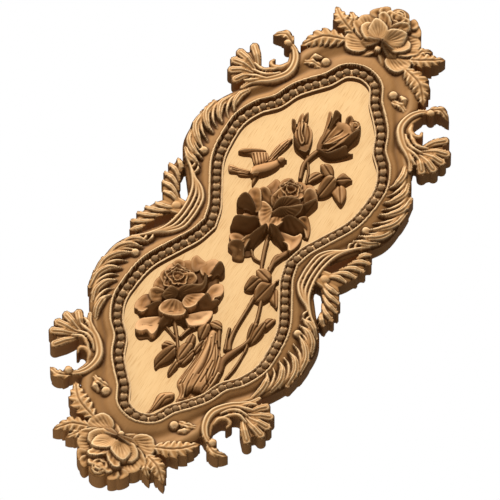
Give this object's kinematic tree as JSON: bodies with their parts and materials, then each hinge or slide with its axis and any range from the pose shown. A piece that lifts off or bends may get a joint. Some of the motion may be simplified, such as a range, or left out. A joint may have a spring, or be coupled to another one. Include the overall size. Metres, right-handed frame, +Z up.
{
  "type": "carved wall panel",
  "caption": "Tall hourglass-shaped carved wood wall panel: scrolled frame with bead course, shells and end roses around a plain ground with roses, buds, leaves and a flying bird.",
  "frame": {"origin": "middle of the flat back, on the wall plane", "axes": "+Z up the panel's long axis, +X to the viewer's right when facing the carving, -Y out from the wall towards the viewer"},
  "size_m": [0.2678, 0.034, 0.694],
  "materials": {
    "frame_wood": "hand carved, brown glaze rubbed back on the high parts, satin wax",
    "ground_wood": "planed smooth, pale clear finish with fine long grain",
    "carving_wood": "hand carved, brown glaze rubbed back on the high parts, satin wax"
  },
  "bodies": {
    "root": {"carved_frame": "frame_wood", "ground_board": "ground_wood", "flower_spray": "carving_wood", "bird": "carving_wood"}
  },
  "joints": []
}
